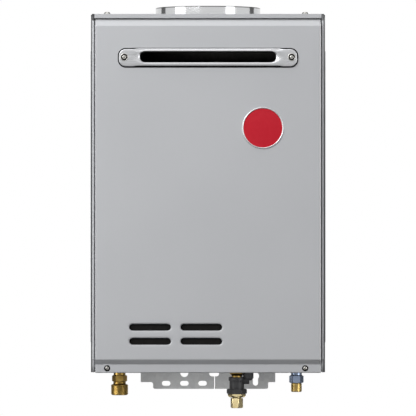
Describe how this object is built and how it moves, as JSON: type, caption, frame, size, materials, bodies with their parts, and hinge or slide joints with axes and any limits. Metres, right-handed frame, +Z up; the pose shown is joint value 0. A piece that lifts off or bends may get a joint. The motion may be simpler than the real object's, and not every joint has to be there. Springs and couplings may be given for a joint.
{
  "type": "tankless water heater",
  "caption": "Wall-hung outdoor tankless gas water heater: silver sheet-steel case with pull-off front cover, front exhaust slot, flue collar and pipe fittings below.",
  "frame": {"origin": "on the wall plane, at the middle of the casing's width and the height of the upper bracket's slot row", "axes": "+X to the right seen from the front, +Y towards the wall, +Z up"},
  "size_m": [0.3536, 0.2385, 0.6101],
  "materials": {
    "silver_paint": "silver-grey baked paint on sheet steel",
    "stainless": "brushed stainless sheet",
    "polished_steel": "polished stainless sheet",
    "screw_steel": "bright zinc plate",
    "galvanised": "hot-dip galvanised sheet",
    "plated_tube": "plated steel tube",
    "blue_zinc": "blue passivated zinc plate",
    "brass": "turned brass, slightly tarnished",
    "copper": "drawn copper sheet and tube",
    "cast_alloy": "die-cast aluminium",
    "black_enamel": "black enamel on pressed steel",
    "black_polymer": "glass-filled moulded polymer",
    "white_polymer": "moulded acetal",
    "rubber": "moulded rubber",
    "foam_rubber": "closed-cell foam rubber",
    "badge_enamel": "plain red enamelled disc",
    "sight_glass": "clear heat-proof glass",
    "white_ceramic": "glazed alumina",
    "green_laminate": "solder-masked laminate",
    "component_resin": "moulded component cases"
  },
  "bodies": {
    "casing": {"case_shell": "silver_paint", "top_panel": "silver_paint", "bottom_panel": "silver_paint", "front_frame": "silver_paint", "cover_seal": "foam_rubber", "top_screws": "screw_steel", "flue_collar": "polished_steel", "flue_cap": "stainless", "collar_rivets": "stainless", "upper_bracket": "galvanised", "lower_bracket": "galvanised", "bracket_screws": "screw_steel", "exhaust_hood": "stainless", "exchanger_shell": "copper", "exchanger_fins": "copper", "exchanger_tubes": "copper", "combustion_chamber": "copper", "sight_window": "sight_glass", "electrode_insulators": "white_ceramic", "electrode_rods": "stainless", "burner_box": "galvanised", "burner_bars": "stainless", "gas_manifold": "cast_alloy", "gas_feed": "plated_tube", "gas_valve": "cast_alloy", "solenoid_coils": "black_polymer", "gas_tube": "plated_tube", "gas_bush": "rubber", "gas_tail": "brass", "fan_housing": "cast_alloy", "fan_motor": "black_enamel", "chamber_hangers": "galvanised", "overheat_switch": "black_polymer", "spark_box": "black_polymer", "hot_pipe": "copper", "cold_pipe": "copper", "hot_outlet": "brass", "inlet_stub": "brass", "flow_sensor": "black_polymer", "inlet_valve": "black_polymer", "inlet_tail": "brass", "control_tray": "black_polymer", "control_board": "green_laminate", "board_parts": "component_resin", "cable_grommet": "rubber"},
    "cover": {"front_cover": "silver_paint", "cover_screws": "screw_steel", "exhaust_trim": "stainless", "trim_screws": "screw_steel", "badge": "badge_enamel"},
    "fan": {"fan_wheel": "galvanised"},
    "turbine": {"flow_turbine": "white_polymer"},
    "ring": {"lock_ring": "black_polymer"},
    "union_nut": {"gas_nut": "blue_zinc"},
    "ferrule": {"olive": "brass"},
    "nut": {"compression_nut": "brass"},
    "main_valve": {"main_plunger": "plated_tube"},
    "safety_valve": {"safety_plunger": "plated_tube"}
  },
  "joints": [
    {"name": "cover_pull", "type": "slide", "parent": "casing", "child": "cover", "axis": [0, -1, 0], "range_m": [0, 0.25]},
    {"name": "fan_spin", "type": "hinge", "parent": "casing", "child": "fan", "pos_m": [-0.048, -0.121, -0.4244], "axis": [0, 1, 0], "continuous": true},
    {"name": "turbine_spin", "type": "hinge", "parent": "casing", "child": "turbine", "pos_m": [0.044, -0.108, -0.484], "axis": [0, 0, 1], "continuous": true},
    {"name": "ring_turn", "type": "hinge", "parent": "casing", "child": "ring", "pos_m": [0.044, -0.108, -0.5728], "axis": [0, 0, 1], "continuous": true},
    {"name": "union_nut_turn", "type": "hinge", "parent": "casing", "child": "union_nut", "pos_m": [0.135, -0.108, -0.555], "axis": [0, 0, 1], "continuous": true},
    {"name": "ferrule_draw", "type": "slide", "parent": "casing", "child": "ferrule", "axis": [0, 0, -1], "range_m": [0, 0.009]},
    {"name": "nut_turn", "type": "hinge", "parent": "ferrule", "child": "nut", "pos_m": [0.044, -0.108, -0.59], "axis": [0, 0, -1], "range_deg": [0, 2160]},
    {"name": "main_valve_draw", "type": "slide", "parent": "casing", "child": "main_valve", "axis": [0, -1, 0], "range_m": [0, 0.003], "stiffness_N_per_m": 300, "springref_m": -0.003},
    {"name": "safety_valve_draw", "type": "slide", "parent": "casing", "child": "safety_valve", "axis": [0, -1, 0], "range_m": [0, 0.003], "stiffness_N_per_m": 300, "springref_m": -0.003}
  ],
  "couplings": [
    {"joint": "nut_turn", "follows": "ferrule_draw", "rad_per_m": 4188.8}
  ]
}
